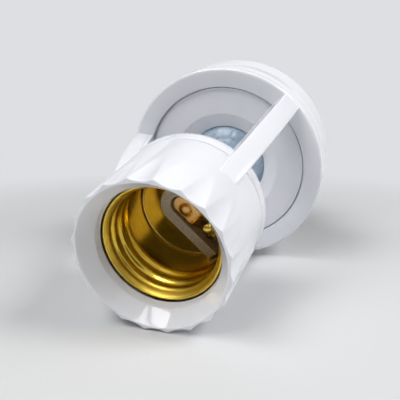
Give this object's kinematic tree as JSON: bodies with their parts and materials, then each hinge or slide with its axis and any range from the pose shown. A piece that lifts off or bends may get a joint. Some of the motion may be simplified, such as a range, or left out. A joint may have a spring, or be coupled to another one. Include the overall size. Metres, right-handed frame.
{
  "type": "motion sensor lamp holder",
  "caption": "White lamp holder adapter with a screw base under a rounded bell, a domed motion lens in its face and slim struts carrying a fluted sleeve with a brass screw socket.",
  "frame": {"origin": "on the axis, where the screw base meets the neck of the bell", "axes": "+Z runs along the axis out of the lamp socket's mouth, -Z out of the screw base, and -Y points at one strut"},
  "size_m": [0.061, 0.061, 0.1201],
  "materials": {
    "white_plastic": "glossy white moulded plastic",
    "lens_plastic": "translucent milky lens plastic",
    "socket_brass": "bright drawn brass",
    "contact_brass": "spring brass leaf",
    "insulator_plastic": "taupe moulded insulator",
    "plated_steel": "bright plated screw",
    "plated_shell": "plated screw shell",
    "black_plastic": "black moulded plastic",
    "solder_metal": "dull solder",
    "board": "green board",
    "sensor_can": "plated can",
    "cell_face": "light cell face",
    "relay_case": "blue relay case",
    "film_case": "red film capacitor case",
    "can_sleeve": "dark capacitor sleeve",
    "resistor_body": "buff resistor body",
    "red_wire": "red wire insulation",
    "black_wire": "black wire insulation"
  },
  "bodies": {
    "holder": {"front_frame": "white_plastic", "inner_cover": "white_plastic", "rear_housing": "white_plastic", "sensor_lens": "lens_plastic", "socket_shell": "socket_brass", "socket_insulator": "insulator_plastic", "contact_screw": "plated_steel", "live_terminal": "socket_brass", "shell_rivets": "socket_brass", "neutral_tab": "socket_brass", "base_shell": "plated_shell", "base_insulator": "black_plastic", "base_tip": "solder_metal", "circuit_board": "board", "board_screws": "plated_steel", "pyro_sensor": "sensor_can", "light_cell": "cell_face", "relay": "relay_case", "film_capacitor": "film_case", "electrolytic_capacitor": "can_sleeve", "control_chip": "black_plastic", "resistors": "resistor_body", "live_wire": "red_wire", "neutral_wire": "black_wire", "base_live_wire": "red_wire", "base_neutral_wire": "black_wire"},
    "contact": {"centre_contact": "contact_brass"}
  },
  "joints": [
    {"name": "contact_press", "type": "hinge", "parent": "holder", "child": "contact", "pos_m": [-0.008, 0, 0.0668], "axis": [0, 1, 0], "range_deg": [0, 6], "stiffness_Nm_per_rad": 0.1}
  ]
}
